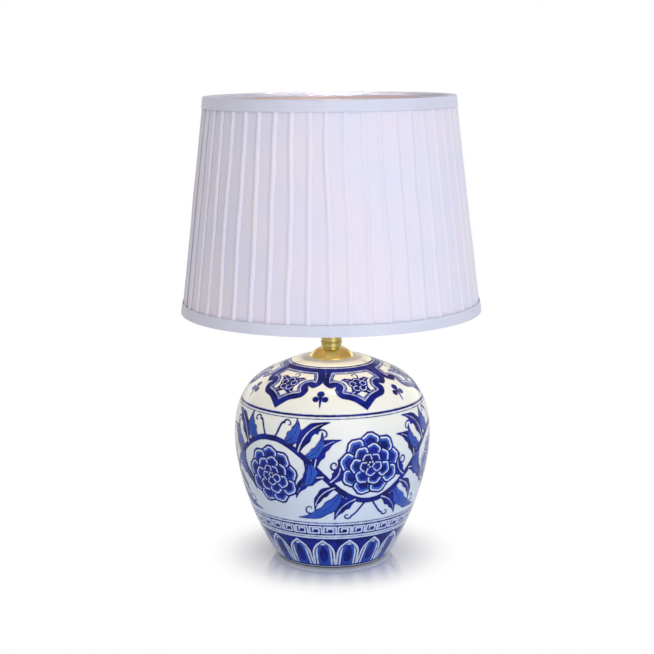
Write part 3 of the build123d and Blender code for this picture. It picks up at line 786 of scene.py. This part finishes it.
def foot_petal(x, y, brush):
    """One upright petal with a dark drop in it."""

    def outline(inset):
        width = SECTOR / LAPPETS_PER_SECTOR * np.interp(10, rise, row_radius) / 2 - 0.4 - inset
        right = flowing(
            [
                (width, LAPPET_FOOT - 8),
                (width * 1.04, 14),
                (width * 1.02, 24),
                (width * 0.70, 32),
                (0.0, LAPPET_TOP - 2 - 1.5 * inset),
            ]
        )
        return np.concatenate([right, right[::-1] * (-1, 1)])

    inside = shape(x, y, outline(0.0))
    clear(brush, inside)
    line(brush, 0.55 - np.abs(inside - 2.6))
    heart = shape(x, y, outline(4.6))
    tint(brush, heart, 1.0)
    drop = flowing([(0, 33), (3.0, 26), (4.4, 18), (3.2, 10.5), (0, 7)])
    line(brush, shape(x, y, np.concatenate([drop, drop[::-1] * (-1, 1)])))


petal_pitch = SECTOR / LAPPETS_PER_SECTOR
above_foot = np.broadcast_to(rise[:, None], ink.shape)
ink[:] = np.maximum(ink, np.minimum(above_foot + 5, LAPPET_TOP - 0.5 - above_foot))
for k in range(LAPPETS_PER_SECTOR):
    paint((k + 0.5) * petal_pitch, 0.0, 14, -2, 44, foot_petal)

# a meander between the foot's petals and the flowers
FRET_LEVEL, FRET_HALF = 51.5, 4.6
FRETS_PER_SECTOR = 12


def fret(x, y, brush):
    """One turn of the key pattern, left white in the cobalt."""
    cell = SECTOR / FRETS_PER_SECTOR * np.interp(FRET_LEVEL, rise, row_radius)
    a, b = cell / 2, FRET_HALF - 0.7
    for path in (
        [
            (-a, -b),
            (0.62 * a, -b),
            (0.62 * a, 0.45 * b),
            (-0.25 * a, 0.45 * b),
            (-0.25 * a, -0.25 * b),
        ],
        [(-0.68 * a, -0.45 * b), (-0.68 * a, b), (a, b)],
        [(a, b), (a, -b)],
    ):
        clear(brush, stroke(x, y, path, 1.6))


ink[:] = np.maximum(ink, 6.4 - np.abs(above_foot - FRET_LEVEL))
for k in range(FRETS_PER_SECTOR):
    paint((k + 0.5) * SECTOR / FRETS_PER_SECTOR, FRET_LEVEL, 8.5, -6, 6, fret)

# rings round the jar: height up the wall and width
for ring_level, ring_width in (
    (2.4, 2.4),
    (42.9, 0.9),
    (60.2, 1.1),
    (172.0, 2.2),
    (168.9, 0.7),
    (235.9, 1.7),
    (233.4, 0.6),
):
    ink[:] = np.maximum(ink, ring_width / 2 - np.abs(above_foot - ring_level))
BARE_ABOVE = 237.5        # up the wall: the seat round the neck is left white
ink[above_foot > BARE_ABOVE] = FAR
wash[above_foot > BARE_ABOVE] = FAR

jar_points = turned(jar_outline, JAR_COLUMNS)
jar_faces = grid_faces(len(jar_outline), JAR_COLUMNS, close_rows=True)
# the cord hole, square to the wall: its ragged edge is inside the bush
OUTLET_HOLE, OUTLET_REACH = 4.6, 14   # radius, and how deep it cuts on each side of its place
outlet_at = np.array([0, 71.6933, 25.2431])
outlet_way = np.array([0, 0.893323, -0.449416])
middles = jar_points[jar_faces].mean(1) - outlet_at
along = middles @ outlet_way
apart = np.linalg.norm(middles - along[:, None] * outlet_way, axis=1)
jar_faces = jar_faces[(apart > OUTLET_HOLE) | (np.abs(along) > OUTLET_REACH)]

# hard-paste porcelain under a clear glaze: white, with painted shade that makes it bluer and
# darker low down and painted warm light that makes it creamier towards the neck;
# glassy and faintly dimpled; the cobalt is soft-edged and darker where it pooled
glaze, tree, shader = finish_named(
    "cobalt_painted_porcelain", **{"Roughness": 0.11, "IOR": 1.5, "Specular IOR Level": 0.22}
)
place = add(tree, "ShaderNodeTexCoord").outputs["Object"]
up = add(tree, "ShaderNodeSeparateXYZ", {0: place})
# painted shade and light: the glaze colour runs from a darker blue-grey low on the jar to a lit
# cream towards the neck
painted_light_by_height = add(
    tree,
    "ShaderNodeMapRange",
    {"Value": up.outputs["Z"], "From Min": 60 * MM, "From Max": 190 * MM},
    interpolation_type="SMOOTHSTEP",
)
glaze_with_painted_shade = add(
    tree,
    "ShaderNodeMix",
    {0: painted_light_by_height.outputs["Result"], 6: linear("CBD9EA"), 7: linear("F4F5E8")},
    data_type="RGBA",
)
WOBBLE = 0.35             # mm that the brush strays from its line
tremble = add(tree, "ShaderNodeTexNoise", {"Vector": place, "Scale": 1000 / 5.0, "Detail": 2.0})
stray = add(
    tree,
    "ShaderNodeMapRange",
    {"Value": tremble.outputs["Fac"], "To Min": -WOBBLE, "To Max": WOBBLE},
)
pool = add(tree, "ShaderNodeTexNoise", {"Vector": place, "Scale": 1000 / 11.0, "Detail": 4.0})


def edge_of(attribute, low, high):
    """0 to 1 across the edge of what is painted, from low to high in mm inside it."""
    depth = add(tree, "ShaderNodeAttribute", attribute_name=attribute)
    strayed = add(
        tree, "ShaderNodeMath", {0: depth.outputs["Fac"], 1: stray.outputs["Result"]}
    )
    return add(
        tree,
        "ShaderNodeMapRange",
        {"Value": strayed.outputs[0], "From Min": low, "From Max": high},
        interpolation_type="SMOOTHSTEP",
    ).outputs["Result"]


tone = add(tree, "ShaderNodeAttribute", attribute_name="shade").outputs["Fac"]
uneven = add(
    tree, "ShaderNodeMath", {0: pool.outputs["Fac"], 1: 0.9, 2: -0.45}, operation="MULTIPLY_ADD"
)
toned = add(tree, "ShaderNodeMath", {0: tone, 1: uneven.outputs[0]}, use_clamp=True)
wash_colour = add(
    tree,
    "ShaderNodeMix",
    {0: toned.outputs[0], 6: linear("3F6CCB"), 7: linear("1C44AC")},
    data_type="RGBA",
)
washed = add(
    tree,
    "ShaderNodeMix",
    {0: edge_of("wash", -0.3, 0.4), 6: glaze_with_painted_shade.outputs[2], 7: wash_colour.outputs[2]},
    data_type="RGBA",
)
bleed = add(
    tree, "ShaderNodeMath", {0: edge_of("ink", -1.6, 0.2), 1: 0.22}, operation="MULTIPLY"
)
bled = add(
    tree,
    "ShaderNodeMix",
    {0: bleed.outputs[0], 6: washed.outputs[2], 7: linear("4A70CE")},
    data_type="RGBA",
)
pooled = add(
    tree,
    "ShaderNodeMapRange",
    {"Value": pool.outputs["Fac"], "From Min": 0.36, "From Max": 0.66},
    interpolation_type="SMOOTHSTEP",
)
ink_colour = add(
    tree,
    "ShaderNodeMix",
    {0: pooled.outputs["Result"], 6: linear("0A1E8A"), 7: linear("040F58")},
    data_type="RGBA",
)
painted_colour = add(
    tree,
    "ShaderNodeMix",
    {0: edge_of("ink", -0.28, 0.28), 6: bled.outputs[2], 7: ink_colour.outputs[2]},
    data_type="RGBA",
)
dimples = add(tree, "ShaderNodeTexNoise", {"Vector": place, "Scale": 1000 / 6.0, "Detail": 1.0})
glass_skin = add(
    tree,
    "ShaderNodeBump",
    {"Height": dimples.outputs["Fac"], "Distance": 0.02 * MM, "Strength": 1.0},
)
tree.links.new(painted_colour.outputs[2], shader.inputs["Base Color"])
tree.links.new(glass_skin.outputs["Normal"], shader.inputs["Normal"])
jar = mesh_piece(
    "painted_jar", jar_points, jar_faces.tolist(), glaze, "lamp_base"
)
for attribute, sector_field, unpainted in (
    ("ink", ink, FAR),
    ("wash", wash, FAR),
    ("shade", shade, 0.0),
):
    field = np.full((len(jar_outline), JAR_COLUMNS), unpainted)
    field[first_painted : first_painted + len(painted)] = np.tile(sector_field, SECTORS)
    field = np.roll(field, round(PAINTING_TURN / TAU * JAR_COLUMNS), axis=1)
    layer = jar.data.attributes.new(attribute, "FLOAT", "POINT")
    layer.data.foreach_set("value", field.ravel().astype(np.float32))
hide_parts("jar")

# --- cloths of the shade --------------------------------------------------------------
MIDDLE_RADIUS = 137.0     # of the shade, where the threads that go round it are counted


def woven(name, colours, thread, relief, patch, rough, sheen):
    """A weave that runs round the lamp's axis: threads and relief in mm, in two near colours."""
    material, tree, shader = finish_named(
        name, **{"Roughness": rough, "IOR": 1.45, "Sheen Weight": sheen, "Sheen Roughness": 0.5}
    )
    place = add(tree, "ShaderNodeTexCoord").outputs["Object"]
    axes = add(tree, "ShaderNodeSeparateXYZ", {0: place})
    turn = add(
        tree,
        "ShaderNodeMath",
        {0: axes.outputs["Y"], 1: axes.outputs["X"]},
        operation="ARCTAN2",
    )
    threads_round = round(TAU * MIDDLE_RADIUS / thread)
    lengthwise = add(
        tree, "ShaderNodeMath", {0: turn.outputs[0], 1: threads_round}, operation="MULTIPLY"
    )
    crosswise = add(
        tree,
        "ShaderNodeMath",
        {0: axes.outputs["Z"], 1: TAU / (thread * MM)},
        operation="MULTIPLY",
    )
    waves = [
        add(tree, "ShaderNodeMath", {0: run.outputs[0]}, operation="SINE").outputs[0]
        for run in (lengthwise, crosswise)
    ]
    over = add(tree, "ShaderNodeMath", {0: waves[0], 1: waves[1]}, operation="MULTIPLY")
    slub = add(
        tree,
        "ShaderNodeTexNoise",
        {"Vector": position(tree, (1.0, 1.0, 0.12)), "Scale": 1000 / (4 * thread), "Detail": 3.0},
    )
    threads = add(tree, "ShaderNodeMath", {0: over.outputs[0], 1: slub.outputs["Fac"]})
    bump = add(
        tree,
        "ShaderNodeBump",
        {"Height": threads.outputs[0], "Distance": relief * MM, "Strength": 0.6},
    )
    colour, patches = speckled(tree, colours, patch, contrast=(0.3, 0.7))
    grain = add(
        tree,
        "ShaderNodeMapRange",
        {
            "Value": threads.outputs[0],
            "From Min": -1.0,
            "From Max": 1.6,
            "To Min": 0.96,
            "To Max": 1.02,
        },
    )
    fine = add(
        tree,
        "ShaderNodeVectorMath",
        {0: colour, "Scale": grain.outputs["Result"]},
        operation="SCALE",
    )
    tree.links.new(fine.outputs[0], shader.inputs["Base Color"])
    tree.links.new(bump.outputs["Normal"], shader.inputs["Normal"])
    return material


# --- shade ----------------------------------------------------------------------------
SHADE_BOTTOM, SHADE_TOP = 252.3, 464.4
BOTTOM_RADIUS, TOP_RADIUS = 150.0, 124.1
PLEATS = 48
LINER_DEPTH = 3.2         # from the shade's outer cone in to the liner's outside
CLOTH_PER_PLEAT = 29.4    # cut width: what shows, and twice what is folded under
CLOTH_SHORT = 1.4         # how far the cloth ends from each rim, under the binding
SWAY_STEPS = 8            # points across a fold that take up the sway of the fold before


def cone(z):
    """Radius of the shade's outer cone at a height."""
    height = SHADE_TOP - SHADE_BOTTOM
    return BOTTOM_RADIUS + (TOP_RADIUS - BOTTOM_RADIUS) * (z - SHADE_BOTTOM) / height


def waver(seed, count, strands):
    """Smooth random lines in -1..1: one for each strand, at count places along it."""
    dice = np.random.default_rng(seed)
    t = np.linspace(0, 1, count)[:, None]
    lines = sum(
        dice.normal(size=strands) / wave * np.sin(TAU * (wave * t / 2 + dice.random(strands)))
        for wave in range(1, 10)
    )
    return lines / 1.6


CLOTH_ROWS = 34
heights = np.linspace(SHADE_BOTTOM + CLOTH_SHORT, SHADE_TOP - CLOTH_SHORT, CLOTH_ROWS)
ground = cone(heights) - LINER_DEPTH      # radius of the liner's outside at each row
# one knife pleat across, from where it comes out from under the fold before it: share of the
# visible width, then mm from the nose, then height above the liner
visible = [(0.02, 0.30), (0.08, 0.34), (0.22, 0.50), (0.39, 0.70), (0.53, 0.86)]
ridge = [
    (-6.5, 0.96),
    (-5.7, 1.12),
    (-4.9, 1.48),
    (-4.2, 1.90),
    (-3.5, 2.14),
    (-2.9, 2.20),
    (-2.2, 2.04),
    (-1.4, 1.66),
    (-0.6, 1.26),
    (-0.05, 1.0),
    (0.0, 0.86),
]
tuck = [(-0.25, 0.72), (-1.6, 0.66)]
rows = []
sway = waver(3, CLOTH_ROWS, PLEATS) * 1.4
swell = waver(5, CLOTH_ROWS, PLEATS) * 0.18
tension = np.sin(np.pi * np.linspace(0, 1, CLOTH_ROWS)) ** 0.5
for row, (z, radius) in enumerate(zip(heights, ground)):
    pitch = radius * TAU / PLEATS
    under = (CLOTH_PER_PLEAT - pitch) / 2
    across = (
        [(share * pitch - pitch, lift) for share, lift in visible]
        + ridge
        + tuck
        + [(-under + 0.5, 0.66), (-under, 0.50), (-under + 0.5, 0.28), (-1.6, 0.22)]
    )
    ring = []
    for fold in range(PLEATS):
        nose = fold * TAU / PLEATS
        drift = sway[row, fold] * tension[row]
        before = sway[row, fold - 1] * tension[row]
        for step, (run, lift) in enumerate(across):
            settled = step / SWAY_STEPS
            shift = before + (drift - before) * settled if settled < 1 else drift
            crest = 1 + swell[row, fold] * (lift > 0.5)
            turn = nose + (run + shift) / radius
            reach = radius + lift * crest
            ring.append((reach * math.cos(turn), reach * math.sin(turn), z))
    rows.append(ring)
cloth_points = np.array(rows).reshape(-1, 3)
cloth_faces = grid_faces(CLOTH_ROWS, len(rows[0]))

# cotton and polyester plain weave, pressed into knife pleats: matt, with a faint sheen; its
# threads, 0.4 mm apart, are drawn 1.1 mm apart to show
pleated_cloth = woven(
    "pressed_cotton_blend", ("E9E3ED", "E2E2F1"), 1.1, 0.05, 60.0, 0.78, sheen=0.12
)
cover = mesh_piece(
    "pleated_cloth", cloth_points, cloth_faces.tolist(), pleated_cloth, "shade"
)
thick = cover.modifiers.new("cloth_thickness", "SOLIDIFY")
thick.thickness = 0.22 * MM
thick.offset = 0.0
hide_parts("pleated_cover")

# ribbed cotton tape, closer and a little darker than the cloth: its ribs, 0.6 mm apart, are
# drawn 1.4 mm apart to show
binding_tape = woven(
    "ribbed_cotton_tape", ("DADCEA", "D4D8E7"), 1.4, 0.08, 30.0, 0.62, sheen=0.08
)
TAPE = 0.7                # thickness
BINDING_DEPTH = 8.4       # from the outer cone in to the tape's inner face
BINDING_COLUMNS = 360
for name, rim_z, inward, seed, turned_in in (
    ("top_binding", SHADE_TOP, -1, 11, 5.0),
    ("bottom_binding", SHADE_BOTTOM, 1, 13, 8.5),
):
    # (depth inside the outer cone, distance in from the rim) of the tape's face, then its back
    face = np.concatenate(
        [
            [(0.75, 11.0), (0.35, 10.9), (0.15, 10.3), (0.12, 9.2), (0.28, 8.4)],
            [(0.10, 6.0), (0.0, 3.4)],
            rounded((0.05, 1.6), (0.05, 0.05), (1.6, 0.0), 6),
            [(3.5, 0.05), (6.2, 0.05)],
            rounded((BINDING_DEPTH - 1.3, 0.0), (BINDING_DEPTH, 0.0), (BINDING_DEPTH, 1.4), 5),
            [
                (BINDING_DEPTH, 0.5 * turned_in),
                (BINDING_DEPTH, 0.8 * turned_in),
                (BINDING_DEPTH - 0.05, turned_in - 0.2),
                (BINDING_DEPTH - 0.35, turned_in),
            ],
        ]
    )
    back = np.concatenate(
        [
            [(BINDING_DEPTH - TAPE, turned_in - 0.2), (BINDING_DEPTH - TAPE, 0.7 * turned_in)],
            rounded(
                (BINDING_DEPTH - TAPE, 2.0),
                (BINDING_DEPTH - TAPE, TAPE),
                (BINDING_DEPTH - 2.0, TAPE),
            ),
            [(4.0, TAPE)],
            rounded((TAPE + 1.4, TAPE), (TAPE, TAPE), (TAPE, TAPE + 1.4)),
            [(TAPE, 4.0), (TAPE + 0.05, 8.0), (1.0, 10.6)],
        ]
    )
    loop = np.concatenate([face, back])
    dice = np.random.default_rng(seed)
    angles = np.arange(BINDING_COLUMNS) / BINDING_COLUMNS * TAU
    ripple = sum(
        dice.normal() * np.sin(n * angles + dice.random() * TAU) for n in (7, 12, 19, 29, 41, 57)
    ) / 3
    points = []
    for depth, drop in loop:
        z = rim_z + inward * drop
        hem = max(0.0, (drop - 6.0) / 5.0) * (depth < 2.5)
        reach = cone(z) - depth + 0.10 * ripple * hem
        heights_round = np.full(BINDING_COLUMNS, z) + 0.12 * np.roll(ripple, 5) * hem * inward
        points.append(
            np.stack([reach * np.cos(angles), reach * np.sin(angles), heights_round], -1)
        )
    faces = grid_faces(len(loop), BINDING_COLUMNS, close_rows=True)
    if inward > 0:
        faces = faces[:, ::-1]
    binding = mesh_piece(
        "woven_" + name,
        np.concatenate(points),
        faces.tolist(),
        binding_tape,
        "shade",
    )
    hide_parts(name)

# --- felt under the foot --------------------------------------------------------------
# needle-pressed wool, near black: matted fibres with no weave, a dry and fuzzy face
felt_finish, tree, shader = finish_named(
    "pressed_wool_felt",
    **{"Roughness": 0.95, "IOR": 1.45, "Sheen Weight": 0.25, "Sheen Roughness": 0.6},
)
colour, tufts = speckled(tree, ("222224", "343437"), 3.0, contrast=(0.3, 0.7))
fibres = add(
    tree,
    "ShaderNodeTexNoise",
    {"Vector": position(tree), "Scale": 1000 / 0.9, "Detail": 4.0, "Distortion": 1.2},
)
fuzz = add(tree, "ShaderNodeMath", {0: tufts, 1: fibres.outputs["Fac"]})
matted = add(
    tree, "ShaderNodeBump", {"Height": fuzz.outputs[0], "Distance": 0.12 * MM, "Strength": 0.8}
)
tree.links.new(colour, shader.inputs["Base Color"])
tree.links.new(matted.outputs["Normal"], shader.inputs["Normal"])
FELT_RADIUS, FELT_TOP, FELT_COLUMNS = 55.5, 1.98, 96
felt_outline = [
    (0.4, 0.0),
    (30, 0.0),
    (FELT_RADIUS - 0.5, 0.0),
    (FELT_RADIUS, 0.5),
    (FELT_RADIUS, 1.5),
    (FELT_RADIUS - 0.4, FELT_TOP),
    (30, FELT_TOP),
    (0.4, FELT_TOP),
]
felt = mesh_piece(
    "foot_felt",
    turned(felt_outline, FELT_COLUMNS),
    grid_faces(len(felt_outline), FELT_COLUMNS, close_rows=True).tolist(),
    felt_finish,
    "lamp_base",
)
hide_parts("base_felt")
